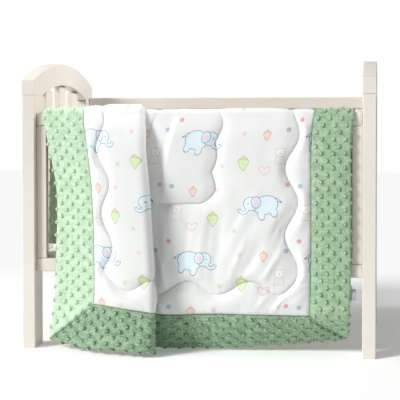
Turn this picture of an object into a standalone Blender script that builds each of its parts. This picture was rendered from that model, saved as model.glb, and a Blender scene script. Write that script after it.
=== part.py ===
"""A small painted wooden crib with a quilted crib comforter hung over its lowered front side.

X runs along the crib, from its left end to its right one. -Y is the front, where the comforter falls, and Z
is up from the floor. The comforter is cut flat first, in its own coordinates (u across from its left edge, v
along from its front hem), and then draped: a deep pleat in the front fall, a turn over the rail and a short
rear fall inside the crib.
"""

import math

import bmesh
import bpy
import numpy as np

# Crib.
INNER_LENGTH = 1.20
END_THICKNESS = 0.048
DEPTH = 0.725
FRONT_Y = -0.3155
JOINT_GAP = 0.0003

POST_DEPTH = 0.083
POST_TOP = 0.935
SHOULDER = 0.991
ARCH_TOP = 1.069
ARCH_OPENING_TOP = 0.985
ARCH_STEPS = 14
END_SLATS = 3
END_SLAT_WIDTH = 0.077
END_SLAT_THICKNESS = 0.024
END_RAIL_THICKNESS = 0.026
LOW_RAIL_BOTTOM = 0.283
LOW_RAIL_TOP = 0.331

SIDE_THICKNESS = 0.028
SIDE_RECESS = 0.018
STILE_WIDTH = 0.038
SIDE_SLATS = 11
SIDE_SLAT_WIDTH = 0.030
SIDE_SLAT_THICKNESS = 0.012
RAIL_TOP = 0.871
RAIL_HEIGHT = 0.049
REAR_RAIL_TOP = 0.945
RAIL_ROUND = 0.008
EDGE_ROUND = 0.0025
SHARP_ANGLE = math.radians(50)

BASE_TOP = 0.345
BASE_THICKNESS = 0.014

# Comforter, cut flat.
WIDTH = 1.20
LENGTH = 1.44
BORDER = 0.15
BACKING_THICKNESS = 0.0022
LAYER_GAP = 0.0003
SEAM_GAP = 0.00025
SEAM_THICKNESS = 0.0035
PANEL_LOFT = 0.0115
BORDER_LOFT = 0.0045
SEAM_ROUND = 0.022
HEM_ROUND = 0.016

# How much loft the filling loses inside the pleat and over the rail, and where.
PLEAT_SQUEEZE = 0.65
PLEAT_SQUEEZE_REACH = (0.03, 0.17, 0.03)
PLEAT_TOP = 1.10
PLEAT_TOP_FADE = 0.10
RAIL_SQUEEZE = 0.15
RAIL_SQUEEZE_REACH = 0.05
RAIL_SQUEEZE_FADE = 0.04

# Stitched lines of the quilting: an outer wavy loop and an inner loop of lobes.
OUTER_LOOP = {"left": 0.215, "right": 0.983, "front": 0.2436, "rear": LENGTH - 0.2436}
INNER_LOOP = {"left": 0.505, "right": 0.710, "front": 0.554, "rear": 0.886}

# The waves of the outer loop's sides: half their height, their length, where one crest lies and how far the
# cloth beside the line bends with it.
WAVE_COLUMNS = ("height", "length", "crest", "reach")
WAVES = {
    "left": (0.024, 0.235, 0.846, 0.064),
    "right": (0.023, 0.240, 0.792, 0.064),
    "front": (0.025, 0.2205, 0.623, 0.092),
    "rear": (0.025, 0.2205, 0.590, 0.092),
}
WAVE_FADE = 0.06
LOBE_LENGTH = 0.111
LOBE_HEIGHT = 0.016
LOBE_REACH = 0.055
LOBE_OVERRUN = 0.05

# Label, sewn into the right edge.
LABEL_WIDTH = 0.021
LABEL_LENGTH = 0.040
LABEL_START = 0.205
LABEL_THICKNESS = 0.0012

# The drape. Over the rail the cloth keeps CLEARANCE from the wood.
CLEARANCE = 0.0024
TURN_START = 0.865
TURN_RADIUS = RAIL_ROUND + CLEARANCE
TURN_FLAT = SIDE_THICKNESS - 2 * RAIL_ROUND
NEUTRAL_DEPTH = 0.005
TURN_END = TURN_START + math.pi * (TURN_RADIUS + NEUTRAL_DEPTH) + TURN_FLAT
SPRING_HEIGHT = RAIL_TOP - RAIL_ROUND
REAR_HEM_HEIGHT = 0.376

NOSE_U = 0.376
NOSE_ARC = 0.034
VALLEY_ARC = 0.046
PLEAT_WIDTH = 0.16
RIPPLE_LENGTH = 0.30
RIPPLE_FADE = 0.05
CURL_START = 0.165
CURL_POWER = 1.3
SEAM_BLEND = 0.06
STRETCH_BLEND = 0.05
NORMAL_STEP = 0.002

# Cross-sections of the drape at several places along the cloth. The x columns are where the left edge, its
# seam, the pleat's nose and the right edge hang, and the out columns how far the left edge and the pleat's
# valley stand off the rail. turn, run and tight are the pleat's angle, the length of its hidden middle and
# the size of its two arcs, and ripple is the slope of the soft waves.
SECTION_COLUMNS = (
    *("v", "left_x", "seam_x", "nose_x", "right_x"),
    *("left_out", "valley_out", "turn", "run", "tight", "ripple"),
)
SECTIONS = (
    (0.00, -0.550, -0.375, -0.155, 0.545, 0.012, 0.006, 2.25, 0.055, 1.00, 0.05),
    (0.15, -0.520, -0.355, -0.150, 0.555, 0.014, 0.006, 2.25, 0.050, 1.00, 0.05),
    (0.36, -0.510, -0.355, -0.165, 0.560, 0.014, 0.005, 2.20, 0.040, 1.00, 0.05),
    (0.58, -0.510, -0.365, -0.180, 0.560, 0.012, 0.005, 2.15, 0.028, 1.00, 0.05),
    (0.76, -0.545, -0.390, -0.200, 0.560, 0.008, 0.004, 1.95, 0.010, 0.85, 0.04),
    (0.83, -0.560, -0.405, -0.205, 0.565, 0.004, 0.002, 1.60, 0.000, 0.70, 0.03),
    (0.87, -0.565, -0.410, -0.210, 0.570, 0.003, 0.001, 1.00, 0.000, 0.60, 0.02),
    (0.90, -0.570, -0.415, -0.215, 0.570, 0.003, 0.000, 0.70, 0.000, 0.55, 0.02),
    (0.93, -0.570, -0.420, -0.220, 0.570, 0.003, 0.001, 0.60, 0.000, 0.55, 0.04),
    (1.05, -0.575, -0.430, -0.225, 0.565, 0.006, 0.006, 0.50, 0.000, 0.75, 0.28),
    (1.25, -0.585, -0.440, -0.220, 0.560, 0.010, 0.010, 0.45, 0.000, 1.00, 0.42),
    (LENGTH, -0.590, -0.445, -0.220, 0.555, 0.010, 0.010, 0.30, 0.000, 1.00, 0.45),
)

# The places whose x is known. The right border hangs a little bent, so it spans less than its width.
RIGHT_BORDER_SPAN = 0.140
KNOWN_PLACES = (
    ("left_x", 0),
    ("seam_x", BORDER),
    ("nose_x", NOSE_U),
    ("right_seam_x", WIDTH - BORDER),
    ("right_x", WIDTH),
)

# Heights of the front seam and the front hem across the cloth, and how far the hem curls back under.
HEM_COLUMNS = ("u", "seam_height", "hem_height", "curl")
HEM = (
    (0.00, 0.185, 0.030, -0.030),
    (0.15, 0.180, 0.018, -0.005),
    (0.28, 0.170, 0.024, 0.000),
    (NOSE_U, 0.160, 0.014, 0.000),
    (0.49, 0.142, 0.008, -0.045),
    (0.75, 0.146, 0.014, -0.070),
    (1.05, 0.148, 0.038, -0.092),
    (1.20, 0.152, 0.052, -0.110),
)

# Cells of the flat cloth between its seams, stitched lines and pleat: from, to, number of cells.
COLUMN_RUNS = (
    (0.000, 0.028, 1),
    (0.028, 0.090, 1),
    (0.090, 0.150, 1),
    (0.150, 0.215, 2),
    (0.215, 0.355, 3),
    (0.355, NOSE_U, 1),
    (NOSE_U, 0.410, 3),
    (0.410, 0.455, 2),
    (0.455, 0.505, 4),
    (0.505, 0.710, 5),
    (0.710, 0.983, 6),
    (0.983, 1.050, 2),
    (1.050, 1.110, 1),
    (1.110, 1.172, 1),
    (1.172, 1.200, 1),
)
ROW_RUNS = (
    (0.000, 0.028, 1),
    (0.028, 0.090, 1),
    (0.090, 0.150, 1),
    (0.150, 0.2436, 2),
    (0.2436, 0.554, 6),
    (0.554, 0.830, 5),
    (0.830, TURN_START, 2),
    (TURN_START, TURN_END, 7),
    (TURN_END, 0.966, 2),
    (0.966, LENGTH - 0.2436, 4),
    (LENGTH - 0.2436, LENGTH - 0.150, 2),
    (LENGTH - 0.150, LENGTH - 0.090, 1),
    (LENGTH - 0.090, LENGTH - 0.028, 1),
    (LENGTH - 0.028, LENGTH, 1),
)

LINEAR_COLOURS = {
    "painted_wood": (0.80, 0.76, 0.70),
    "printed_cotton": (0.86, 0.88, 0.87),
    "green_minky": (0.20, 0.42, 0.20),
    "grey_label": (0.55, 0.56, 0.56),
}
ROUGHNESS = {"painted_wood": 0.4, "printed_cotton": 0.9, "green_minky": 0.95, "grey_label": 0.6}

TABLE_STEP_U = 0.001
TABLE_STEP_V = 0.005
TABLE_MARGIN = 0.03


def clear_scene():
    for obj in list(bpy.data.objects):
        bpy.data.objects.remove(obj, do_unlink=True)


def make_material(name):
    material = bpy.data.materials.new(name)
    material.use_nodes = True
    shader = material.node_tree.nodes["Principled BSDF"]
    shader.inputs["Base Color"].default_value = (*LINEAR_COLOURS[name], 1)
    shader.inputs["Roughness"].default_value = ROUGHNESS[name]
    shader.inputs["Metallic"].default_value = 0
    return material


def add_object(name, mesh, material):
    mesh.materials.clear()
    mesh.materials.append(material)
    obj = bpy.data.objects.new(name, mesh)
    collection.objects.link(obj)
    return obj


# ---------------------------------------------------------------- crib


def board(name, low, high, rounding=EDGE_ROUND, segments=1):
    """A straight piece of wood between two corners, with its edges rounded."""
    mesh = bpy.data.meshes.new(name)
    form = bmesh.new()
    bmesh.ops.create_cube(form, size=1)
    low = np.array(low)
    high = np.array(high)
    for vertex in form.verts:
        vertex.co = (low + high) / 2 + np.array(vertex.co) * (high - low)
    form.to_mesh(mesh)
    form.free()
    obj = add_object(name, mesh, wood)
    if rounding:
        bevel = obj.modifiers.new("Rounded edges", "BEVEL")
        bevel.width = rounding
        bevel.segments = segments
    return obj


def arch_height(y, side_height, top_height, half_width):
    """The height of a circular arch from side_height at +-half_width to top_height in the middle."""
    rise = top_height - side_height
    radius = (half_width**2 + rise**2) / (2 * rise)
    return top_height - radius + math.sqrt(radius**2 - y**2)


def arch_board(name, low_x, high_x):
    """The curved top of an end panel: straight shoulders, a round top and an arched opening below it."""
    half = DEPTH / 2
    inner = half - POST_DEPTH
    middle_y = FRONT_Y + half
    outline = [(-half, POST_TOP), (-inner, POST_TOP)]
    for step in range(1, ARCH_STEPS):
        y = -inner + 2 * inner * step / ARCH_STEPS
        outline.append((y, arch_height(y, POST_TOP, ARCH_OPENING_TOP, inner)))
    outline += [(inner, POST_TOP), (half, POST_TOP)]
    for step in range(ARCH_STEPS + 1):
        y = half - 2 * half * step / ARCH_STEPS
        outline.append((y, arch_height(y, SHOULDER, ARCH_TOP, half)))
    curve = bpy.data.curves.new(name + "_outline", "CURVE")
    curve.dimensions = "2D"
    curve.fill_mode = "BOTH"
    curve.extrude = (high_x - low_x) / 2
    spline = curve.splines.new("POLY")
    spline.points.add(len(outline) - 1)
    for point, (y, z) in zip(spline.points, outline):
        point.co = (y, z, 0, 1)
    spline.use_cyclic_u = True
    guide = bpy.data.objects.new(name + "_guide", curve)
    collection.objects.link(guide)
    bpy.context.view_layer.update()
    evaluated = guide.evaluated_get(bpy.context.evaluated_depsgraph_get())
    mesh = bpy.data.meshes.new_from_object(evaluated)
    bpy.data.objects.remove(guide, do_unlink=True)
    form = bmesh.new()
    form.from_mesh(mesh)
    bmesh.ops.remove_doubles(form, verts=form.verts, dist=0.00001)
    form.to_mesh(mesh)
    form.free()
    obj = add_object(name, mesh, wood)
    # The outline's own x and y become the part's Y and Z, and its thickness the part's X.
    obj.rotation_euler = (math.radians(90), 0, math.radians(90))
    obj.location = ((low_x + high_x) / 2, middle_y, 0)
    bevel = obj.modifiers.new("Rounded edges", "BEVEL")
    bevel.width = EDGE_ROUND
    bevel.segments = 1
    bevel.limit_method = "ANGLE"
    bevel.angle_limit = SHARP_ANGLE


def end_panel(side, low_x):
    """One end of the crib: two posts, an arched top, a bottom rail and wide slats."""
    high_x = low_x + END_THICKNESS
    front = FRONT_Y
    back = FRONT_Y + DEPTH
    post_top = POST_TOP - JOINT_GAP
    board(f"{side}_post_front", (low_x, front, 0), (high_x, front + POST_DEPTH, post_top))
    board(f"{side}_post_back", (low_x, back - POST_DEPTH, 0), (high_x, back, post_top))
    arch_board(f"{side}_arch", low_x, high_x)
    middle_x = (low_x + high_x) / 2
    inner_front = front + POST_DEPTH + JOINT_GAP
    inner_back = back - POST_DEPTH - JOINT_GAP
    half_rail = END_RAIL_THICKNESS / 2
    board(
        f"{side}_bottom_rail",
        (middle_x - half_rail, inner_front, LOW_RAIL_BOTTOM),
        (middle_x + half_rail, inner_back, LOW_RAIL_TOP),
    )
    half_slat = END_SLAT_THICKNESS / 2
    spacing = (inner_back - inner_front - END_SLATS * END_SLAT_WIDTH) / (END_SLATS + 1)
    inner = DEPTH / 2 - POST_DEPTH
    for index in range(END_SLATS):
        low_y = inner_front + spacing + index * (END_SLAT_WIDTH + spacing)
        high_y = low_y + END_SLAT_WIDTH
        farthest = max(abs(low_y - FRONT_Y - DEPTH / 2), abs(high_y - FRONT_Y - DEPTH / 2))
        # The opening's facets lie a little under its arc, so the slat stops short of it.
        top = arch_height(farthest, POST_TOP, ARCH_OPENING_TOP, inner) - 3 * JOINT_GAP
        board(
            f"{side}_slat_{index + 1}",
            (middle_x - half_slat, low_y, LOW_RAIL_TOP + JOINT_GAP),
            (middle_x + half_slat, high_y, top),
        )


def long_side(side, front_y, rail_top, top_round):
    """A long side: a top and a bottom rail with a stile at each end and slats between."""
    back_y = front_y + SIDE_THICKNESS
    half = INNER_LENGTH / 2 - JOINT_GAP
    low = LOW_RAIL_BOTTOM
    board(
        f"{side}_top_rail",
        (-half, front_y, rail_top - RAIL_HEIGHT),
        (half, back_y, rail_top),
        top_round,
        2,
    )
    board(f"{side}_bottom_rail", (-half, front_y, low), (half, back_y, LOW_RAIL_TOP))
    low_z = LOW_RAIL_TOP + JOINT_GAP
    high_z = rail_top - RAIL_HEIGHT - JOINT_GAP
    for place, low_x in (("left", -half), ("right", half - STILE_WIDTH)):
        board(
            f"{side}_stile_{place}",
            (low_x, front_y + EDGE_ROUND, low_z),
            (low_x + STILE_WIDTH, back_y - EDGE_ROUND, high_z),
        )
    middle_y = (front_y + back_y) / 2
    half_slat = SIDE_SLAT_THICKNESS / 2
    clear = 2 * half - 2 * STILE_WIDTH
    spacing = (clear - SIDE_SLATS * SIDE_SLAT_WIDTH) / (SIDE_SLATS + 1)
    for index in range(SIDE_SLATS):
        low_x = -half + STILE_WIDTH + spacing + index * (SIDE_SLAT_WIDTH + spacing)
        board(
            f"{side}_slat_{index + 1:02d}",
            (low_x, middle_y - half_slat, low_z),
            (low_x + SIDE_SLAT_WIDTH, middle_y + half_slat, high_z),
            rounding=0,
        )


def crib_base(front_side_y, back_side_y):
    """The plain board that a mattress lies on, between the ends and the long sides."""
    half = INNER_LENGTH / 2 - JOINT_GAP
    board(
        "crib_base",
        (-half, front_side_y + SIDE_THICKNESS + JOINT_GAP, BASE_TOP - BASE_THICKNESS),
        (half, back_side_y - JOINT_GAP, BASE_TOP),
        rounding=0,
    )


# ---------------------------------------------------------------- drape


def smooth_step(x):
    x = np.clip(x, 0, 1)
    return x * x * (3 - 2 * x)


def smooth_curve(x, knots, values):
    """A smooth curve through a table's rows, straight beyond its ends."""
    slopes = np.gradient(values, knots)
    i = np.clip(np.searchsorted(knots, x) - 1, 0, len(knots) - 2)
    span = knots[i + 1] - knots[i]
    t = np.clip((x - knots[i]) / span, 0, 1)
    start = (1 + 2 * t) * (1 - t) ** 2 * values[i] + t * (1 - t) ** 2 * span * slopes[i]
    end = t * t * (3 - 2 * t) * values[i + 1] + t * t * (t - 1) * span * slopes[i + 1]
    return start + end


def table_columns(names, rows):
    return dict(zip(names, np.array(rows).T))


def table_column(u):
    return int(round((u + TABLE_MARGIN) / TABLE_STEP_U))


def fold_table():
    """Where each place of the cloth hangs across the crib (x) and how far it stands off the rail (out).

    Both are tables over v and u. Each cross-section is walked from the left edge to the right by its heading.
    """
    sections = table_columns(SECTION_COLUMNS, SECTIONS)
    along = np.arange(-TABLE_MARGIN, LENGTH + TABLE_MARGIN, TABLE_STEP_V)
    across = np.arange(-TABLE_MARGIN, WIDTH + TABLE_MARGIN, TABLE_STEP_U)
    at = {
        name: smooth_curve(along, sections["v"], values)[:, None]
        for name, values in sections.items()
        if name != "v"
    }
    u = across[None, :]
    run = np.maximum(at["run"], 0)
    nose = smooth_step((u - NOSE_U) / (NOSE_ARC * at["tight"]))
    valley_start = NOSE_U + NOSE_ARC * at["tight"] + run
    valley = smooth_step((u - valley_start) / (VALLEY_ARC * at["tight"]))
    fold = -at["turn"] * (nose - valley)
    past_nose = smooth_step((u - NOSE_U) / RIPPLE_FADE)
    wave = at["ripple"] * np.sin(2 * np.pi * (u - NOSE_U) / RIPPLE_LENGTH)
    wave = wave * np.where(u < NOSE_U, 1, past_nose * valley)
    left = np.clip(1 - (np.maximum(u, 0) / NOSE_U) ** 2, 0, 1)
    before = (u >= 0) & (u < NOSE_U)
    in_pleat = (u >= NOSE_U) & (u < NOSE_U + PLEAT_WIDTH)
    drop = -np.sum(np.sin(fold + wave) * in_pleat, axis=1)[:, None] * TABLE_STEP_U
    rise = at["valley_out"] + drop - at["left_out"]
    left_slope = rise / (np.sum(left * before) * TABLE_STEP_U)
    heading = fold + wave + left_slope * left
    step_x = np.cos(heading) * TABLE_STEP_U
    step_out = np.sin(heading) * TABLE_STEP_U
    # Each stretch between two known places is scaled to fit between them.
    at["right_seam_x"] = at["right_x"] - RIGHT_BORDER_SPAN
    scale = 1
    for (start, low), (stop, high) in zip(KNOWN_PLACES[:-1], KNOWN_PLACES[1:]):
        stretch = step_x[:, table_column(low) : table_column(high)]
        fitted = (at[stop] - at[start]) / stretch.sum(axis=1)[:, None]
        scale = scale + (fitted - scale) * (smooth_step((u - low) / STRETCH_BLEND + 0.5) if low else 1)
    step_x = step_x * scale
    x = np.cumsum(step_x, axis=1)
    x = x - x[:, [table_column(NOSE_U)]] + at["nose_x"]
    out = np.cumsum(step_out, axis=1)
    nearest = out[:, table_column(0) : table_column(WIDTH)].min(axis=1)[:, None]
    out = out - nearest + at["valley_out"]
    return x, out


def read_table(table, u, v):
    """Reads a fold table between its points, evenly in u and on a smooth curve in v."""
    column = np.clip((u + TABLE_MARGIN) / TABLE_STEP_U, 0, table.shape[1] - 2)
    row = np.clip((v + TABLE_MARGIN) / TABLE_STEP_V, 1, table.shape[0] - 3)
    i = column.astype(int)
    j = row.astype(int)
    s = column - i
    t = row - j
    lines = [table[j + k, i] * (1 - s) + table[j + k, i + 1] * s for k in (-1, 0, 1, 2)]
    weights = (
        -0.5 * t + t**2 - 0.5 * t**3,
        1 - 2.5 * t**2 + 1.5 * t**3,
        0.5 * t + 2 * t**2 - 1.5 * t**3,
        -0.5 * t**2 + 0.5 * t**3,
    )
    return sum(line * weight for line, weight in zip(lines, weights))


def inner_face(u, v):
    """The points of the face that lies against the rail."""
    x = read_table(fold_x, u, v)
    out = read_table(fold_out, u, v)
    seam_height = smooth_curve(u, hem["u"], hem["seam_height"])
    hem_height = smooth_curve(u, hem["u"], hem["hem_height"])
    curl = smooth_curve(u, hem["u"], hem["curl"])
    rail_y = front_side_y + SIDE_THICKNESS / 2
    fall = SPRING_HEIGHT - seam_height
    above_seam = seam_height + (v - BORDER) / (TURN_START - BORDER) * fall
    below_seam = hem_height + v / BORDER * (seam_height - hem_height)
    near_seam = smooth_step((v - BORDER) / SEAM_BLEND + 0.5)
    front_z = above_seam * near_seam + below_seam * (1 - near_seam)
    rear_rate = (SPRING_HEIGHT - REAR_HEM_HEIGHT) / (LENGTH - TURN_END)
    rear_z = SPRING_HEIGHT - (v - TURN_END) * rear_rate
    curl_out = curl * np.clip((CURL_START - v) / CURL_START, 0, 1) ** CURL_POWER
    travel = np.clip(v - TURN_START, 0, TURN_END - TURN_START)
    arc = math.pi / 2 * (TURN_RADIUS + NEUTRAL_DEPTH)
    round_travel = np.where(travel < arc, travel, np.maximum(arc, travel - TURN_FLAT))
    angle = round_travel / (TURN_RADIUS + NEUTRAL_DEPTH)
    shift = np.clip(travel - arc, 0, TURN_FLAT) - TURN_FLAT / 2
    radius = TURN_RADIUS + out + curl_out
    y = rail_y + shift - radius * np.cos(angle)
    z = SPRING_HEIGHT + radius * np.sin(angle)
    z = np.where(v < TURN_START, front_z, np.where(v > TURN_END, rear_z, z))
    return np.stack([x, y, z], axis=-1)


def drape(u, v, depth):
    """The hanging place of the flat cloth's points, each depth metres outward from the inner face."""
    across = inner_face(u + NORMAL_STEP, v) - inner_face(u - NORMAL_STEP, v)
    along = inner_face(u, v + NORMAL_STEP) - inner_face(u, v - NORMAL_STEP)
    normal = np.cross(across, along)
    normal /= np.linalg.norm(normal, axis=-1, keepdims=True)
    return inner_face(u, v) + normal * depth[..., None]


# ---------------------------------------------------------------- comforter, cut flat


def run_lines(runs):
    lines = [runs[0][0]]
    for start, stop, cells in runs:
        lines += [start + (stop - start) * (cell + 1) / cells for cell in range(cells)]
    return lines


def near(x, centre, reach):
    return np.clip(1 - np.abs(x - centre) / reach, 0, 1)


def within(x, low, high, fade):
    return smooth_step((x - low) / fade) * smooth_step((high - x) / fade)


def outer_wave(side, along, across):
    """How far one side of the outer loop waves off its straight line, fading out in the cloth beside it."""
    wave = dict(zip(WAVE_COLUMNS, WAVES[side]))
    crests = np.cos(2 * np.pi * (along - wave["crest"]) / wave["length"])
    return wave["height"] * crests * near(across, OUTER_LOOP[side], wave["reach"])


def bend_lines(u, v):
    """Moves the straight lines of the flat cloth so that the stitched ones run in waves and lobes."""
    sideways = outer_wave("left", v, u) + outer_wave("right", v, u)
    lengthways = outer_wave("front", u, v) + outer_wave("rear", u, v)
    lobes = np.abs(np.sin(np.pi * (v - INNER_LOOP["front"]) / LOBE_LENGTH)) - 0.5
    lobes = LOBE_HEIGHT * lobes * near(u, INNER_LOOP["right"], LOBE_REACH)
    low, high = INNER_LOOP["front"] - LOBE_OVERRUN, INNER_LOOP["rear"] + LOBE_OVERRUN
    lobes = lobes * within(v, low, high, WAVE_FADE)
    bent_u = u + sideways * within(v, BORDER, LENGTH - BORDER, WAVE_FADE) + lobes
    bent_v = v + lengthways * within(u, BORDER, WIDTH - BORDER, WAVE_FADE)
    return bent_u, bent_v


def loop_distance(u, v, loop):
    """How far a place is from a loop, measured before its lines are bent."""
    middle_u = (loop["left"] + loop["right"]) / 2
    middle_v = (loop["front"] + loop["rear"]) / 2
    beside = np.abs(u - middle_u) - (loop["right"] - loop["left"]) / 2
    beyond = np.abs(v - middle_v) - (loop["rear"] - loop["front"]) / 2
    outside = np.hypot(np.maximum(beside, 0), np.maximum(beyond, 0))
    inside = np.minimum(np.maximum(beside, beyond), 0)
    return np.abs(outside + inside)


def puff(distance, rounding):
    """From 0 on a sewn line to 1 well away from it."""
    return 1 - np.exp(-((distance / rounding) ** 2))


def squeeze(u, v):
    """How much of its loft the filling keeps: less inside the pleat and over the rail."""
    start, stop, fade = PLEAT_SQUEEZE_REACH
    pleat = within(u, NOSE_U - start, NOSE_U + stop, fade) * smooth_step((PLEAT_TOP - v) / PLEAT_TOP_FADE)
    low, high = TURN_START - RAIL_SQUEEZE_REACH, TURN_END + RAIL_SQUEEZE_REACH
    over_rail = within(v, low, high, RAIL_SQUEEZE_FADE)
    return 1 - PLEAT_SQUEEZE * pleat - RAIL_SQUEEZE * over_rail


def panel_depth(u, v):
    seam = np.minimum(
        np.minimum(u - BORDER, WIDTH - BORDER - u), np.minimum(v - BORDER, LENGTH - BORDER - v)
    )
    loft = puff(seam, SEAM_ROUND)
    for loop in (OUTER_LOOP, INNER_LOOP):
        loft = loft * puff(loop_distance(u, v, loop), SEAM_ROUND)
    return SEAM_THICKNESS + PANEL_LOFT * loft * squeeze(u, v)


def border_depth(u, v):
    hem_distance = np.minimum(np.minimum(u, WIDTH - u), np.minimum(v, LENGTH - v))
    seam_distance = BORDER - hem_distance
    loft = puff(hem_distance, HEM_ROUND) * puff(seam_distance, SEAM_ROUND)
    return SEAM_THICKNESS + BORDER_LOFT * loft * squeeze(u, v)


def flat_cloth():
    """The whole comforter's rectangle, marked with seams, mitres and stitched lines."""
    columns = run_lines(COLUMN_RUNS)
    rows = run_lines(ROW_RUNS)
    cloth = bmesh.new()
    bmesh.ops.create_grid(cloth, x_segments=len(columns) - 1, y_segments=len(rows) - 1, size=0.5)
    for vertex in cloth.verts:
        column = round((vertex.co.x + 0.5) * (len(columns) - 1))
        row = round((vertex.co.y + 0.5) * (len(rows) - 1))
        vertex.co = (columns[column], rows[row], 0)
    # Each cell is split towards the cloth's nearest corner, so that the mitres are edges.
    for face in list(cloth.faces):
        centre = face.calc_center_median()
        leaning = 1 if (centre.x < WIDTH / 2) == (centre.y < LENGTH / 2) else -1
        corners = sorted(face.verts, key=lambda vertex: vertex.co.x + leaning * vertex.co.y)
        bmesh.utils.face_split(face, corners[0], corners[-1])
    return cloth


def split_walls(piece):
    """Splits the quads round a raised piece by one rule, so that the walls of two neighbours match."""

    def reach(vertex):
        return abs(vertex.co.x - WIDTH / 2) + abs(vertex.co.y - LENGTH / 2)

    for face in list(piece.faces):
        if len(face.verts) == 4:
            low = [vertex for vertex in face.verts if vertex.co.z < 0.5]
            high = [vertex for vertex in face.verts if vertex.co.z > 0.5]
            bmesh.utils.face_split(face, min(low, key=reach), max(high, key=reach))


def cut_piece(name, keep, trim, inner_depth, outer_depth, material):
    """Cuts one piece from the flat cloth, gives it its thickness and drapes it.

    keep says which places belong to it, and trim moves its edge points back from the seams by half a gap.
    """
    piece = flat_cloth()
    spare = [face for face in piece.faces if not keep(*face.calc_center_median().xy)]
    bmesh.ops.delete(piece, geom=spare, context="FACES")
    raised = bmesh.ops.extrude_face_region(piece, geom=piece.faces[:], use_keep_orig=True)
    for element in raised["geom"]:
        if isinstance(element, bmesh.types.BMVert):
            element.co.z = 1
    bmesh.ops.recalc_face_normals(piece, faces=piece.faces)
    split_walls(piece)
    flat = np.array([vertex.co for vertex in piece.verts])
    outer = flat[:, 2] > 0.5
    depth = np.where(outer, outer_depth(flat[:, 0], flat[:, 1]), inner_depth)
    u, v = bend_lines(*trim(flat[:, 0], flat[:, 1]))
    for vertex, place in zip(piece.verts, drape(u, v, depth)):
        vertex.co = place
    mesh = bpy.data.meshes.new(name)
    piece.to_mesh(mesh)
    piece.free()
    mesh.shade_smooth()
    add_object(name, mesh, material)


def edge_of(u, v):
    """Which border a place of the flat cloth belongs to, or the panel."""
    distances = {"left": u, "right": WIDTH - u, "front": v, "rear": LENGTH - v}
    nearest = min(distances, key=distances.get)
    return nearest if distances[nearest] < BORDER else "panel"


def trim_panel(u, v):
    return (
        np.clip(u, BORDER + SEAM_GAP, WIDTH - BORDER - SEAM_GAP),
        np.clip(v, BORDER + SEAM_GAP, LENGTH - BORDER - SEAM_GAP),
    )


def trim_side(u, v):
    """For the two long borders: back from the seam, and from the mitres along v."""
    inward = np.minimum(np.minimum(u, WIDTH - u), BORDER - SEAM_GAP)
    u = np.where(u < WIDTH / 2, inward, WIDTH - inward)
    room = inward + SEAM_GAP
    return u, np.clip(v, room, LENGTH - room)


def trim_end(u, v):
    """For the front and rear borders: back from the seam, and from the mitres along u."""
    inward = np.minimum(np.minimum(v, LENGTH - v), BORDER - SEAM_GAP)
    v = np.where(v < LENGTH / 2, inward, LENGTH - inward)
    room = inward + SEAM_GAP
    return np.clip(u, room, WIDTH - room), v


def comforter():
    front = BACKING_THICKNESS + LAYER_GAP

    def border_outer(u, v):
        return front + border_depth(u, v)

    def panel_outer(u, v):
        return front + panel_depth(u, v)

    def keep_panel(u, v):
        return edge_of(u, v) == "panel"

    cut_piece("comforter_panel", keep_panel, trim_panel, front, panel_outer, cotton)
    for edge, trim in (("left", trim_side), ("right", trim_side), ("front", trim_end), ("rear", trim_end)):
        cut_piece(
            f"comforter_border_{edge}",
            lambda u, v, edge=edge: edge_of(u, v) == edge,
            trim,
            front,
            border_outer,
            minky,
        )
    cut_piece(
        "comforter_backing",
        lambda u, v: True,
        lambda u, v: (u, v),
        0,
        lambda u, v: np.full_like(u, BACKING_THICKNESS),
        minky,
    )


def care_label():
    """A blank folded tag that stands out of the right edge seam."""
    form = bmesh.new()
    bmesh.ops.create_cube(form, size=1)
    flat = np.array([vertex.co for vertex in form.verts]) + 0.5
    u = WIDTH + LAYER_GAP + flat[:, 0] * LABEL_WIDTH
    v = LABEL_START + flat[:, 1] * LABEL_LENGTH
    depth = BACKING_THICKNESS / 2 + flat[:, 2] * LABEL_THICKNESS
    for vertex, place in zip(form.verts, drape(u, v, depth)):
        vertex.co = place
    mesh = bpy.data.meshes.new("comforter_label")
    form.to_mesh(mesh)
    form.free()
    add_object("comforter_label", mesh, label_cloth)


clear_scene()
collection = bpy.data.collections.new("Crib with a draped comforter")
bpy.context.scene.collection.children.link(collection)
wood = make_material("painted_wood")
cotton = make_material("printed_cotton")
minky = make_material("green_minky")
label_cloth = make_material("grey_label")

front_side_y = FRONT_Y + SIDE_RECESS
back_side_y = FRONT_Y + DEPTH - SIDE_RECESS - SIDE_THICKNESS
end_panel("left", -INNER_LENGTH / 2 - END_THICKNESS)
end_panel("right", INNER_LENGTH / 2)
long_side("front", front_side_y, RAIL_TOP, RAIL_ROUND)
long_side("back", back_side_y, REAR_RAIL_TOP, EDGE_ROUND)
crib_base(front_side_y, back_side_y)

hem = table_columns(HEM_COLUMNS, HEM)
fold_x, fold_out = fold_table()
comforter()
care_label()
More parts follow.
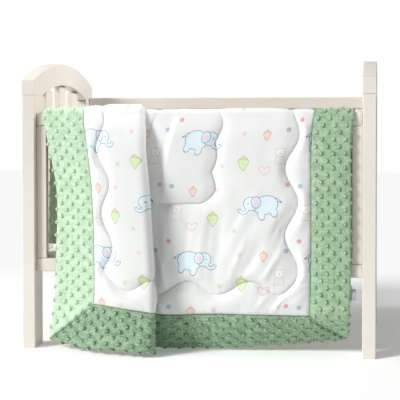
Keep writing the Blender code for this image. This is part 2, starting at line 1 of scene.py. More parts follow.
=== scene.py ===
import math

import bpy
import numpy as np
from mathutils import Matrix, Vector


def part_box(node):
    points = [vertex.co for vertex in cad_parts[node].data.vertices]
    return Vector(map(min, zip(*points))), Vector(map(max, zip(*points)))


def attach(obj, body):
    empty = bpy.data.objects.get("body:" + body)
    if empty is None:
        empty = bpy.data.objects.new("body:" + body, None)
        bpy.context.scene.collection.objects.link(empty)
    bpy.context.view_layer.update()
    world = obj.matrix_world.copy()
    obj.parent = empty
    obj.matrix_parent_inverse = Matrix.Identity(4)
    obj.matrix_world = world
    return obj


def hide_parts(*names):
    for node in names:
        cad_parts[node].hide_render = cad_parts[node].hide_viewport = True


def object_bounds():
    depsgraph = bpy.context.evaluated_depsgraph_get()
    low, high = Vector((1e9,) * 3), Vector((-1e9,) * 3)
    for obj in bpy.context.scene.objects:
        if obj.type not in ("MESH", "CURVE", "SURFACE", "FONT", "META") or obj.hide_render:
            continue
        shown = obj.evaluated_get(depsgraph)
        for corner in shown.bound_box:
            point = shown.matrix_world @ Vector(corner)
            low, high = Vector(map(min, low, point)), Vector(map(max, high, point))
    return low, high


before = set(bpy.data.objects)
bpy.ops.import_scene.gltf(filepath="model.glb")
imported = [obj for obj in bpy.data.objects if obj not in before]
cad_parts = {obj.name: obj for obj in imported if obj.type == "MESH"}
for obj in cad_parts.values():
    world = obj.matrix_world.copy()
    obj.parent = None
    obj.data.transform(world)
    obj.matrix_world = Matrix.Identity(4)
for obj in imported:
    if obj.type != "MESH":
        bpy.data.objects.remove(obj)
cad_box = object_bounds()

# The looks of a quilted crib comforter that hangs over the lowered front side of a small painted crib.
#
# The crib keeps its CAD solids and gets painted wood. Each piece of the comforter is made again as a fine
# closed mesh: it is laid out flat (u across from the left edge, v along from the front hem, in metres), gets
# its quilting, wrinkles and raised dots there, and is then draped in the same way as the CAD solids.

RAIL_LOW, RAIL_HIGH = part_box("front_top_rail")
RAIL_ROUND = 0.008

# The comforter, cut flat.
WIDTH = 1.20
LENGTH = 1.44
BORDER = 0.15
BACKING_THICKNESS = 0.0022
LAYER_GAP = 0.0003
SEAM_GAP = 0.00025
FRONT_DEPTH = BACKING_THICKNESS + LAYER_GAP
OUTER_LOOP = {"left": 0.215, "right": 0.983, "front": 0.2436, "rear": LENGTH - 0.2436}
INNER_LOOP = {"left": 0.450, "right": 0.710, "front": 0.546, "rear": 0.886}
LOOPS = (OUTER_LOOP, INNER_LOOP)
WAVE_COLUMNS = ("height", "length", "crest", "reach")
WAVES = {
    "left": (0.024, 0.235, 0.846, 0.064),
    "right": (0.023, 0.240, 0.792, 0.064),
    "front": (0.025, 0.2205, 0.623, 0.092),
    "rear": (0.025, 0.2205, 0.590, 0.092),
}
WAVE_FADE = 0.06
LOBE_LENGTH = 0.111
LOBE_HEIGHT = 0.016
LOBE_REACH = 0.055
LOBE_OVERRUN = 0.05
LABEL_WIDTH = 0.021
LABEL_LENGTH = 0.040
LABEL_START = 0.205
LABEL_THICKNESS = 0.0012
LABEL_ROUND = 0.1
LABEL_BOW = 0.0025
LABEL_WAVE = 0.0008
LABEL_SKIN = 0.0001

# The drape over the rail, as in the CAD.
CLEARANCE = 0.0024
TURN_START = 0.865
TURN_RADIUS = RAIL_ROUND + CLEARANCE
TURN_FLAT = (RAIL_HIGH.y - RAIL_LOW.y) - 2 * RAIL_ROUND
NEUTRAL_DEPTH = 0.005
TURN_END = TURN_START + math.pi * (TURN_RADIUS + NEUTRAL_DEPTH) + TURN_FLAT
SPRING_HEIGHT = RAIL_HIGH.z - RAIL_ROUND
REAR_HEM_HEIGHT = 0.376
NOSE_U = 0.376
NOSE_ARC = 0.034
VALLEY_ARC = 0.046
PLEAT_WIDTH = 0.16
RIPPLE_LENGTH = 0.30
RIPPLE_FADE = 0.05
CURL_START = 0.165
CURL_POWER = 1.3
SEAM_BLEND = 0.06
STRETCH_BLEND = 0.05
NORMAL_STEP = 0.002
SECTION_COLUMNS = (
    *("v", "left_x", "seam_x", "nose_x", "right_x"),
    *("left_out", "valley_out", "turn", "run", "tight", "ripple"),
)
SECTIONS = (
    (0.00, -0.550, -0.375, -0.155, 0.545, 0.012, 0.006, 2.25, 0.055, 1.00, 0.05),
    (0.15, -0.520, -0.355, -0.150, 0.555, 0.014, 0.006, 2.25, 0.050, 1.00, 0.05),
    (0.36, -0.510, -0.355, -0.165, 0.560, 0.014, 0.005, 2.20, 0.040, 1.00, 0.05),
    (0.58, -0.510, -0.365, -0.180, 0.560, 0.012, 0.005, 2.15, 0.028, 1.00, 0.05),
    (0.76, -0.545, -0.390, -0.200, 0.560, 0.008, 0.004, 1.95, 0.010, 0.85, 0.04),
    (0.83, -0.560, -0.405, -0.205, 0.565, 0.004, 0.002, 1.60, 0.000, 0.70, 0.03),
    (0.87, -0.565, -0.410, -0.210, 0.570, 0.003, 0.001, 1.00, 0.000, 0.60, 0.02),
    (0.90, -0.570, -0.415, -0.215, 0.570, 0.003, 0.000, 0.70, 0.000, 0.55, 0.02),
    (0.93, -0.570, -0.420, -0.220, 0.570, 0.003, 0.001, 0.60, 0.000, 0.55, 0.04),
    (1.05, -0.575, -0.430, -0.225, 0.565, 0.006, 0.006, 0.50, 0.000, 0.75, 0.28),
    (1.25, -0.585, -0.440, -0.220, 0.560, 0.010, 0.010, 0.45, 0.000, 1.00, 0.42),
    (LENGTH, -0.590, -0.445, -0.220, 0.555, 0.010, 0.010, 0.30, 0.000, 1.00, 0.45),
)
RIGHT_BORDER_SPAN = 0.140
KNOWN_PLACES = (
    ("left_x", 0),
    ("seam_x", BORDER),
    ("nose_x", NOSE_U),
    ("right_seam_x", WIDTH - BORDER),
    ("right_x", WIDTH),
)
HEM_COLUMNS = ("u", "seam_height", "hem_height", "curl")
HEM = (
    (0.00, 0.185, 0.030, -0.030),
    (0.15, 0.180, 0.018, -0.005),
    (0.28, 0.170, 0.024, 0.000),
    (NOSE_U, 0.160, 0.014, 0.000),
    (0.49, 0.142, 0.008, -0.045),
    (0.75, 0.146, 0.014, -0.070),
    (1.05, 0.148, 0.038, -0.092),
    (1.20, 0.152, 0.052, -0.110),
)
TABLE_STEP_U = 0.001
TABLE_STEP_V = 0.005
TABLE_MARGIN = 0.03

# Surface detail of the cloth: stitching, filling, the hem and the raised dots.
LOOP_ROUND = 0.050
STITCH_SHARE = 0.42
STITCH_REACH = 0.0035
CROWN_REACH = 0.026
SEAM_DEPTH = 0.0016
SEAM_HOLD = 0.01
PANEL_LOFT = 0.0175
BORDER_LOFT = 0.0085
BORDER_LEAST = 0.0012
MITRE_PINCH = 0.75
MITRE_REACH = 0.007
PLEAT_SQUEEZE = 0.65
PLEAT_SQUEEZE_REACH = (0.004, 0.17, 0.03)
PLEAT_TOP = 1.10
PLEAT_TOP_FADE = 0.10
RAIL_SQUEEZE = 0.60
RAIL_SQUEEZE_REACH = 0.07
RAIL_SQUEEZE_FADE = 0.08
HEM_ROUND = 0.010
HEM_DEPTH = 0.0004
HEM_OVERHANG = 0.0015
DOT_PITCH = 0.050
DOT_ROW_PITCH = 0.022
DOT_RADIUS = 0.0088
DOT_EDGE = 0.62
DOT_LENGTH = 0.94
DOT_HEIGHT = 0.0062
DOT_CLEAR = 0.006
DOT_SQUEEZE = 0.3
DOT_HEM_SHIFT = 0.4
BACKING_DOT_HEIGHT = 0.0017
BACKING_DOT_CLEAR = 0.004
BACKING_STITCH_DEPTH = 0.0010
# The crease value at which the minky gets no painted crease shade.
NO_CREASE_SHADE = 0.02

# The table of random values behind each noise.
NOISE_SHAPE = (97, 89)

# Small gathers across the sewn lines.
PUCKER_LENGTH = 0.011
PUCKER_WIDTH = 0.05
PUCKER_START = 0.003
SIDE_SEAM_STRIP = 0.04
PUCKER_COLUMNS = ("height", "reach", "seed")
PUCKERS = {
    "outer loop": (0.0022, 0.020, 21),
    "inner loop": (0.0018, 0.016, 22),
    "panel seam": (0.0020, 0.020, 23),
    "border seam": (0.0014, 0.016, 31),
    "mitre": (0.0010, 0.020, 32),
}

# How uneven the filling lies under each cloth: height, length across one swell, and seed.
PANEL_SWELLS = (0.0008, 0.045, 24)
BORDER_SWELLS = (0.0012, 0.05, 33)

# Loose wrinkles as noise drawn out along a lean in degrees, each kind in its own part of the front fall.
WRINKLE_COLUMNS = ("lean", "across", "along", "seed", "height")
WRINKLES = {
    "slanted": (27, 0.030, 0.17, 11, 0.0054),
    "upright": (6, 0.030, 0.20, 12, 0.0048),
    "short": (38, 0.019, 0.08, 13, 0.0046),
    "beside": (-30, 0.020, 0.07, 14, 0.0042),
}

# The folds that catch the eye, each from its top end to its low end.
FOLD_COLUMNS = ("top_u", "top_v", "low_u", "low_v", "width", "height")
FOLDS = (
    (0.500, 0.44, 0.570, 0.22, 0.008, 0.0110),
    (0.490, 0.27, 0.560, 0.12, 0.008, 0.0100),
    (0.965, 0.41, 0.880, 0.26, 0.009, 0.0050),
    (0.835, 0.43, 0.770, 0.27, 0.010, 0.0040),
    (0.935, 0.26, 0.855, 0.15, 0.007, 0.0040),
    (0.995, 0.26, 0.915, 0.15, 0.007, 0.0035),
    (0.158, 0.35, 0.200, 0.24, 0.007, 0.0035),
    (0.162, 0.53, 0.190, 0.42, 0.007, 0.0030),
)

# Sizes of the meshes' cells. They are finer at sewn lines, the loops' corners, the turn, mitres and hems.
SPACING_SAMPLES = 4001
FINE_CELL = 0.0044
REAR_CELL = 0.0085
STITCH_CELL = 0.0014
STITCH_CELL_REACH = 0.012
CORNER_CELL = 0.0026
CORNER_CELL_REACH = 0.05
CORNER_PLACES_U = (0.235, 0.963, 0.690)
CORNER_PLACES_V = (0.264, 0.574, (TURN_START + TURN_END) / 2)
INWARD_CELL = 0.0026
INWARD_FINER = ((0, 0.012, 0.0008), (BORDER, 0.010, 0.0012))
ALONG_CELL = 0.0027
MITRE_CELL = 0.0018
MITRE_CELL_REACH = 0.02
BACKING_CELL = 0.0052
BACKING_TURN_CELL = 0.0026
BACKING_TURN_MARGIN = 0.01
LABEL_COLUMNS = 13
LABEL_ROWS = 25


# ---------------------------------------------------------------- the drape


def smooth_step(x):
    x = np.clip(x, 0, 1)
    return x * x * (3 - 2 * x)


def smooth_curve(x, knots, values):
    """A smooth curve through a table's rows, straight beyond its ends."""
    slopes = np.gradient(values, knots)
    i = np.clip(np.searchsorted(knots, x) - 1, 0, len(knots) - 2)
    span = knots[i + 1] - knots[i]
    t = np.clip((x - knots[i]) / span, 0, 1)
    start = (1 + 2 * t) * (1 - t) ** 2 * values[i] + t * (1 - t) ** 2 * span * slopes[i]
    end = t * t * (3 - 2 * t) * values[i + 1] + t * t * (t - 1) * span * slopes[i + 1]
    return start + end


def table_columns(names, rows):
    return dict(zip(names, np.array(rows).T))


def table_column(u):
    return int(round((u + TABLE_MARGIN) / TABLE_STEP_U))


def fold_table():
    """Where each place of the cloth hangs across the crib (x) and how far it stands off the rail (out).

    Both are tables over v and u. Each cross-section is walked from the left edge to the right by its heading.
    """
    sections = table_columns(SECTION_COLUMNS, SECTIONS)
    along = np.arange(-TABLE_MARGIN, LENGTH + TABLE_MARGIN, TABLE_STEP_V)
    across = np.arange(-TABLE_MARGIN, WIDTH + TABLE_MARGIN, TABLE_STEP_U)
    at = {
        name: smooth_curve(along, sections["v"], values)[:, None]
        for name, values in sections.items()
        if name != "v"
    }
    u = across[None, :]
    run = np.maximum(at["run"], 0)
    nose = smooth_step((u - NOSE_U) / (NOSE_ARC * at["tight"]))
    valley_start = NOSE_U + NOSE_ARC * at["tight"] + run
    valley = smooth_step((u - valley_start) / (VALLEY_ARC * at["tight"]))
    fold = -at["turn"] * (nose - valley)
    past_nose = smooth_step((u - NOSE_U) / RIPPLE_FADE)
    wave = at["ripple"] * np.sin(2 * np.pi * (u - NOSE_U) / RIPPLE_LENGTH)
    wave = wave * np.where(u < NOSE_U, 1, past_nose * valley)
    left = np.clip(1 - (np.maximum(u, 0) / NOSE_U) ** 2, 0, 1)
    before = (u >= 0) & (u < NOSE_U)
    in_pleat = (u >= NOSE_U) & (u < NOSE_U + PLEAT_WIDTH)
    drop = -np.sum(np.sin(fold + wave) * in_pleat, axis=1)[:, None] * TABLE_STEP_U
    rise = at["valley_out"] + drop - at["left_out"]
    left_slope = rise / (np.sum(left * before) * TABLE_STEP_U)
    heading = fold + wave + left_slope * left
    step_x = np.cos(heading) * TABLE_STEP_U
    step_out = np.sin(heading) * TABLE_STEP_U
    # Each stretch between two known places is scaled to fit between them.
    at["right_seam_x"] = at["right_x"] - RIGHT_BORDER_SPAN
    scale = 1
    for (start, low), (stop, high) in zip(KNOWN_PLACES[:-1], KNOWN_PLACES[1:]):
        stretch = step_x[:, table_column(low) : table_column(high)]
        fitted = (at[stop] - at[start]) / stretch.sum(axis=1)[:, None]
        scale = scale + (fitted - scale) * (smooth_step((u - low) / STRETCH_BLEND + 0.5) if low else 1)
    step_x = step_x * scale
    x = np.cumsum(step_x, axis=1)
    x = x - x[:, [table_column(NOSE_U)]] + at["nose_x"]
    out = np.cumsum(step_out, axis=1)
    nearest = out[:, table_column(0) : table_column(WIDTH)].min(axis=1)[:, None]
    out = out - nearest + at["valley_out"]
    return x, out


def read_table(table, u, v):
    """Reads a fold table between its points, evenly in u and on a smooth curve in v."""
    column = np.clip((u + TABLE_MARGIN) / TABLE_STEP_U, 0, table.shape[1] - 2)
    row = np.clip((v + TABLE_MARGIN) / TABLE_STEP_V, 1, table.shape[0] - 3)
    i = column.astype(int)
    j = row.astype(int)
    s = column - i
    t = row - j
    lines = [table[j + k, i] * (1 - s) + table[j + k, i + 1] * s for k in (-1, 0, 1, 2)]
    weights = (
        -0.5 * t + t**2 - 0.5 * t**3,
        1 - 2.5 * t**2 + 1.5 * t**3,
        0.5 * t + 2 * t**2 - 1.5 * t**3,
        -0.5 * t**2 + 0.5 * t**3,
    )
    return sum(line * weight for line, weight in zip(lines, weights))


def inner_face(u, v):
    """The points of the face that lies against the rail."""
    x = read_table(fold_x, u, v)
    out = read_table(fold_out, u, v)
    seam_height = smooth_curve(u, hem["u"], hem["seam_height"])
    hem_height = smooth_curve(u, hem["u"], hem["hem_height"])
    curl = smooth_curve(u, hem["u"], hem["curl"])
    rail_y = (RAIL_LOW.y + RAIL_HIGH.y) / 2
    fall = SPRING_HEIGHT - seam_height
    above_seam = seam_height + (v - BORDER) / (TURN_START - BORDER) * fall
    below_seam = hem_height + v / BORDER * (seam_height - hem_height)
    near_seam = smooth_step((v - BORDER) / SEAM_BLEND + 0.5)
    front_z = above_seam * near_seam + below_seam * (1 - near_seam)
    rear_rate = (SPRING_HEIGHT - REAR_HEM_HEIGHT) / (LENGTH - TURN_END)
    rear_z = SPRING_HEIGHT - (v - TURN_END) * rear_rate
    curl_out = curl * np.clip((CURL_START - v) / CURL_START, 0, 1) ** CURL_POWER
    travel = np.clip(v - TURN_START, 0, TURN_END - TURN_START)
    arc = math.pi / 2 * (TURN_RADIUS + NEUTRAL_DEPTH)
    round_travel = np.where(travel < arc, travel, np.maximum(arc, travel - TURN_FLAT))
    angle = round_travel / (TURN_RADIUS + NEUTRAL_DEPTH)
    shift = np.clip(travel - arc, 0, TURN_FLAT) - TURN_FLAT / 2
    radius = TURN_RADIUS + out + curl_out
    y = rail_y + shift - radius * np.cos(angle)
    z = SPRING_HEIGHT + radius * np.sin(angle)
    z = np.where(v < TURN_START, front_z, np.where(v > TURN_END, rear_z, z))
    return np.stack([x, y, z], axis=-1)


def drape(u, v, depth):
    """The hanging place of the flat cloth's points, each depth metres outward from the inner face."""
    across = inner_face(u + NORMAL_STEP, v) - inner_face(u - NORMAL_STEP, v)
    along = inner_face(u, v + NORMAL_STEP) - inner_face(u, v - NORMAL_STEP)
    normal = np.cross(across, along)
    normal /= np.linalg.norm(normal, axis=-1, keepdims=True)
    return inner_face(u, v) + normal * depth[..., None]


def near(x, centre, reach):
    return np.clip(1 - np.abs(x - centre) / reach, 0, 1)


def within(x, low, high, fade):
    return smooth_step((x - low) / fade) * smooth_step((high - x) / fade)


def outer_wave(side, along, across):
    """How far one side of the outer loop waves off its straight line, fading out in the cloth beside it."""
    wave = dict(zip(WAVE_COLUMNS, WAVES[side]))
    crests = np.cos(2 * np.pi * (along - wave["crest"]) / wave["length"])
    return wave["height"] * crests * near(across, OUTER_LOOP[side], wave["reach"])


def bend_lines(u, v):
    """Moves the straight lines of the flat cloth so that the stitched ones run in waves and lobes."""
    sideways = outer_wave("left", v, u) + outer_wave("right", v, u)
    lengthways = outer_wave("front", u, v) + outer_wave("rear", u, v)
    lobes = np.abs(np.sin(np.pi * (v - INNER_LOOP["front"]) / LOBE_LENGTH)) - 0.5
    lobes = LOBE_HEIGHT * lobes * near(u, INNER_LOOP["right"], LOBE_REACH)
    low, high = INNER_LOOP["front"] - LOBE_OVERRUN, INNER_LOOP["rear"] + LOBE_OVERRUN
    lobes = lobes * within(v, low, high, WAVE_FADE)
    bent_u = u + sideways * within(v, BORDER, LENGTH - BORDER, WAVE_FADE) + lobes
    bent_v = v + lengthways * within(u, BORDER, WIDTH - BORDER, WAVE_FADE)
    return bent_u, bent_v


def squeeze(u, v):
    """How much of its loft the filling keeps: less inside the pleat and over the rail."""
    start, stop, fade = PLEAT_SQUEEZE_REACH
    pleat = within(u, NOSE_U + start, NOSE_U + stop, fade) * smooth_step((PLEAT_TOP - v) / PLEAT_TOP_FADE)
    low, high = TURN_START - RAIL_SQUEEZE_REACH, TURN_END + RAIL_SQUEEZE_REACH
    over_rail = within(v, low, high, RAIL_SQUEEZE_FADE)
    return (1 - PLEAT_SQUEEZE * pleat) * (1 - RAIL_SQUEEZE * over_rail)


# ---------------------------------------------------------------- relief of the flat cloth


def noise(x, y, seed):
    """Smooth noise from -1 to 1, with one random value at each whole number."""
    values = np.random.RandomState(seed).uniform(-1, 1, NOISE_SHAPE)
    i = np.floor(x).astype(int)
    j = np.floor(y).astype(int)
    s = smooth_step(x - i)
    t = smooth_step(y - j)

    def value(column, row):
        return values[column % NOISE_SHAPE[0], row % NOISE_SHAPE[1]]

    low = value(i, j) * (1 - s) + value(i + 1, j) * s
    high = value(i, j + 1) * (1 - s) + value(i + 1, j + 1) * s
    return low * (1 - t) + high * t


def loop_place(u, v, loop):
    """How far a place is from a stitched loop, and how far along it, before its lines are bent."""
    half_width = (loop["right"] - loop["left"]) / 2
    half_length = (loop["rear"] - loop["front"]) / 2
    beside = np.abs(u - (loop["left"] + loop["right"]) / 2) - half_width + LOOP_ROUND
    beyond = np.abs(v - (loop["front"] + loop["rear"]) / 2) - half_length + LOOP_ROUND
    outside = np.hypot(np.maximum(beside, 0), np.maximum(beyond, 0))
    inside = np.minimum(np.maximum(beside, beyond), 0)
    return np.abs(outside + inside - LOOP_ROUND), np.where(beside > beyond, v, u)


def close_to(distance, reach):
    """From 1 on a line to 0 well away from it."""
    return np.exp(-((distance / reach) ** 2))


def sewn(distance):
    """From 0 on a sewn line, steeply up beside it as the crease, then gently to 1 as the filling's crown."""
    crease = 1 - np.exp(-distance / STITCH_REACH)
    crown = 1 - close_to(distance, CROWN_REACH)
    return STITCH_SHARE * crease + (1 - STITCH_SHARE) * crown


def puckers(kind, distance, place):
    """Small gathers across a sewn line, which fade away from it."""
    row = dict(zip(PUCKER_COLUMNS, PUCKERS[kind]))
    gathers = noise(place / PUCKER_LENGTH, distance / PUCKER_WIDTH, row["seed"])
    fade = np.exp(-distance / row["reach"]) * (1 - np.exp(-distance / PUCKER_START))
    return row["height"] * gathers * fade


def swells(u, v, kind):
    """Low, broad unevenness of the filling."""
    height, length, seed = kind
    return height * noise(u / length, v / length, seed)


def wrinkles(u, v, kind):
    """Noise drawn out along a line that leans to the right of the cloth's length."""
    row = dict(zip(WRINKLE_COLUMNS, WRINKLES[kind]))
    lean = math.radians(row["lean"])
    across = (u * math.cos(lean) - v * math.sin(lean)) / row["across"]
    along = (u * math.sin(lean) + v * math.cos(lean)) / row["along"]
    return row["height"] * noise(across, along, row["seed"])


def rising(x, start, fade):
    return smooth_step((x - start) / fade)


def falling(x, stop, fade):
    return smooth_step((stop - x) / fade)


def soft_wrinkles(u, v):
    """Loose folds of the cotton's front fall.

    They slant on the wide right part and stand upright at its left. In the lower right corner and beside the
    left seam they are short.
    """
    slanted = wrinkles(u, v, "slanted") * rising(u, 0.70, 0.12) * falling(v, 0.66, 0.2)
    upright = wrinkles(u, v, "upright") * within(u, 0.47, 0.80, 0.08) * falling(v, 0.62, 0.2)
    short = wrinkles(u, v, "short") * rising(u, 0.84, 0.1) * falling(v, 0.34, 0.1)
    beside = wrinkles(u, v, "beside") * falling(u, 0.24, 0.04)
    return within(v, BORDER, TURN_START, 0.08) * (slanted + upright + short + beside)


def placed_folds(u, v):
    """The folds that catch the eye, each a soft ridge along the line between its two ends."""
    ridges = np.zeros_like(u)
    for row in FOLDS:
        fold = dict(zip(FOLD_COLUMNS, row))
        run_u = fold["low_u"] - fold["top_u"]
        run_v = fold["low_v"] - fold["top_v"]
        length = math.hypot(run_u, run_v)
        past_u = u - fold["top_u"]
        past_v = v - fold["top_v"]
        along = (past_u * run_u + past_v * run_v) / length**2
        aside = (past_u * run_v - past_v * run_u) / length
        ends = np.sin(np.pi * np.clip(along, 0, 1))
        ridges = ridges + fold["height"] * close_to(aside, fold["width"]) * ends
    return ridges


def panel_relief(u, v):
    """The panel's height over the backing, and how far each place is from the nearer stitched loop."""
    side_seam = np.minimum(u - BORDER, WIDTH - BORDER - u)
    end_seam = np.minimum(v - BORDER, LENGTH - BORDER - v)
    seam = np.minimum(side_seam, end_seam)
    outer, outer_place = loop_place(u, v, OUTER_LOOP)
    inner, inner_place = loop_place(u, v, INNER_LOOP)
    seam_place = np.where(side_seam < SIDE_SEAM_STRIP, v, u)
    loft = sewn(seam) * sewn(outer) * sewn(inner)
    relief = PANEL_LOFT * loft * squeeze(u, v)
    loose = soft_wrinkles(u, v) + placed_folds(u, v)
    held = np.minimum(seam, outer)
    relief += loose * held / (held + SEAM_HOLD)
    relief += puckers("outer loop", outer, outer_place)
    relief += puckers("inner loop", inner, inner_place)
    relief += puckers("panel seam", seam, seam_place)
    relief += swells(u, v, PANEL_SWELLS) * loft
    return SEAM_DEPTH + np.maximum(relief, 0), np.minimum(outer, inner)


def dots(along, across):
    """The minky's raised dots, from 0 between them to 1 on top, in rows that are half a step apart."""
    row = np.round(across / DOT_ROW_PITCH)
    shifted = along + (row % 2) * DOT_PITCH / 2
    beside = shifted - DOT_PITCH * np.round(shifted / DOT_PITCH)
    distance = np.hypot(beside * DOT_LENGTH, across - row * DOT_ROW_PITCH)
    return smooth_step((DOT_RADIUS - distance) / (DOT_EDGE * DOT_RADIUS))


def spaced(low, high, coarse, finer=()):
    """An even number of cells between two places: coarse, and finer round each (place, reach, size)."""
    x = np.linspace(low, high, SPACING_SAMPLES)
    size = np.full_like(x, coarse)
    for place, reach, fine in finer:
        size = np.minimum(size, fine + (coarse - fine) * np.clip(np.abs(x - place) / reach, 0, 1))
    density = 1 / size
    cells = np.concatenate([[0], np.cumsum((density[1:] + density[:-1]) / 2 * np.diff(x))])
    count = 2 * max(1, round(cells[-1] / 2))
    return np.interp(np.linspace(0, cells[-1], count + 1), cells, x)


# ---------------------------------------------------------------- meshes


def closed_mesh(name, top, bottom, fields):
    """A closed body between a fine top grid and a bottom grid with half as many cells each way.

    fields are values kept on the points for the materials: {name: (on the top, on the bottom)}.
    """
    fine = np.arange(top.shape[0] * top.shape[1]).reshape(top.shape[:2])
    coarse = fine.size + np.arange(bottom.shape[0] * bottom.shape[1]).reshape(bottom.shape[:2])
    above = [fine[:-1, :-1], fine[:-1, 1:], fine[1:, 1:], fine[1:, :-1]]
    below = [coarse[:-1, :-1], coarse[1:, :-1], coarse[1:, 1:], coarse[:-1, 1:]]
    faces = np.stack(above, axis=-1).reshape(-1, 4).tolist()
    faces += np.stack(below, axis=-1).reshape(-1, 4).tolist()
    rims = (
        (coarse[0], fine[0], 1),
        (coarse[-1], fine[-1], -1),
        (coarse[:, 0], fine[:, 0], -1),
        (coarse[:, -1], fine[:, -1], 1),
    )
    for low, high, way in rims:
        wall = np.stack([low[:-1], low[1:], high[2::2], high[1::2], high[:-2:2]], axis=-1)
        faces += wall[:, ::way].tolist()
    points = np.concatenate([top.reshape(-1, 3), bottom.reshape(-1, 3)])
    mesh = bpy.data.meshes.new(name)
    mesh.from_pydata(points.tolist(), [], faces)
    for field, (on_top, on_bottom) in fields.items():
        values = np.concatenate([on_top.reshape(fine.size, -1), on_bottom.reshape(coarse.size, -1)])
        kind = "FLOAT" if values.shape[1] == 1 else "FLOAT_VECTOR"
        attribute = mesh.attributes.new(field, kind, "POINT")
        part = "value" if kind == "FLOAT" else "vector"
        attribute.data.foreach_set(part, values.astype(np.float32).ravel())
    mesh.shade_smooth()
    return mesh


def add_piece(name, mesh, material, slot, *nodes):
    """Links a piece, rides it on the crib and lets it stand for its CAD nodes."""
    mesh.materials.append(material)
    obj = bpy.data.objects.new(name, mesh)
    bpy.context.scene.collection.objects.link(obj)
    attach(obj, "root")
    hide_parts(*nodes)
    return obj


def cloth_place(u, v):
    return np.stack([u, v, np.zeros_like(u)], axis=-1)


def halved(grid):
    return grid[::2, ::2]


def quilted_panel():
    """The cotton centre with its filling, between the borders' seams."""
    low = BORDER + SEAM_GAP
    stitched_u = (low, WIDTH - low, *(loop[side] for loop in LOOPS for side in ("left", "right")))
    stitched_v = (low, LENGTH - low, *(loop[side] for loop in LOOPS for side in ("front", "rear")))
    fine_u = [(place, STITCH_CELL_REACH, STITCH_CELL) for place in stitched_u]
    fine_v = [(place, STITCH_CELL_REACH, STITCH_CELL) for place in stitched_v]
    fine_u += [(place, CORNER_CELL_REACH, CORNER_CELL) for place in CORNER_PLACES_U]
    fine_v += [(place, CORNER_CELL_REACH, CORNER_CELL) for place in CORNER_PLACES_V]
    columns = spaced(low, WIDTH - low, FINE_CELL, fine_u)
    rows = spaced(low, TURN_END, FINE_CELL, fine_v)
    rows = np.concatenate([rows, spaced(TURN_END, LENGTH - low, REAR_CELL, fine_v)[1:]])
    u, v = np.meshgrid(columns, rows)
    relief, stitch = panel_relief(u, v)
    bent_u, bent_v = bend_lines(u, v)
    top = drape(bent_u, bent_v, FRONT_DEPTH + relief)
    under_u = halved(bent_u)
    under_v = halved(bent_v)
    bottom = drape(under_u, under_v, np.full_like(under_u, FRONT_DEPTH))
    # The stitch field is the distance to the nearer stitched loop, where the cotton gets painted crease
    # shade.
    fields = {
        "cloth": (cloth_place(bent_u, bent_v), cloth_place(under_u, under_v)),
        "stitch": (stitch, halved(stitch)),
    }
    return closed_mesh("quilted_panel", top, bottom, fields)


def border_strip(name, edge):
    """One mitred strip of minky, laid out inward from its hem and along between its mitres."""
    long_edge = edge in ("left", "right")
    span = LENGTH if long_edge else WIDTH
    mitre_cells = [(end, MITRE_CELL_REACH, MITRE_CELL / span) for end in (0, 1)]
    inward = spaced(0, BORDER - SEAM_GAP, INWARD_CELL, INWARD_FINER)
    share = spaced(0, 1, ALONG_CELL / span, mitre_cells)
    if edge in ("right", "rear"):
        inward = inward[::-1]
    if long_edge:
        inward, share = np.meshgrid(inward, share)
    else:
        share, inward = np.meshgrid(share, inward)
    room = inward + SEAM_GAP
    along = room + share * (span - 2 * room)
    # The hem is a quarter of an ellipse, and its dots stand out square to it.
    rim = np.clip(inward / HEM_ROUND, 0, 1)
    turn = np.arccos(1 - rim)
    seam = BORDER - inward
    mitre = np.minimum(along, span - along) - inward
    loft = sewn(seam) * (1 - MITRE_PINCH * close_to(mitre, MITRE_REACH))
    u, v = (inward, along) if long_edge else (along, inward)
    if edge == "right":
        u = WIDTH - u
    if edge == "rear":
        v = LENGTH - v
    body = SEAM_DEPTH + BORDER_LOFT * loft * squeeze(u, v)
    body = body + puckers("border seam", seam, along) + puckers("mitre", mitre, inward)
    body = np.maximum(body + swells(u, v, BORDER_SWELLS) * loft, BORDER_LEAST)
    raised = dots(along, inward - DOT_HEM_SHIFT * HEM_ROUND * (1 - rim) ** 2)
    raised = raised * (1 - close_to(seam, DOT_CLEAR)) * (1 - close_to(mitre, DOT_CLEAR))
    lift = DOT_HEIGHT * raised * (1 - DOT_SQUEEZE * (1 - squeeze(u, v)))
    depth = (body + lift) * np.sin(turn) + HEM_DEPTH
    outward = (lift + HEM_OVERHANG) * np.cos(turn)
    way = -1 if edge in ("left", "front") else 1
    shown_u = u + way * outward if long_edge else u
    shown_v = v if long_edge else v + way * outward
    top = drape(shown_u, shown_v, FRONT_DEPTH + depth)
    under_u = halved(shown_u)
    under_v = halved(shown_v)
    bottom = drape(under_u, under_v, np.full_like(under_u, FRONT_DEPTH))
    # The crease field is the distance to the seam or a mitre; the minky gets painted shade close to it.
    fields = {
        "cloth": (cloth_place(shown_u, shown_v), cloth_place(under_u, under_v)),
        "relief": (raised, np.zeros_like(under_u)),
        "crease": (np.minimum(np.abs(seam), np.abs(mitre)), halved(seam)),
    }
    return closed_mesh(name, top, bottom, fields)


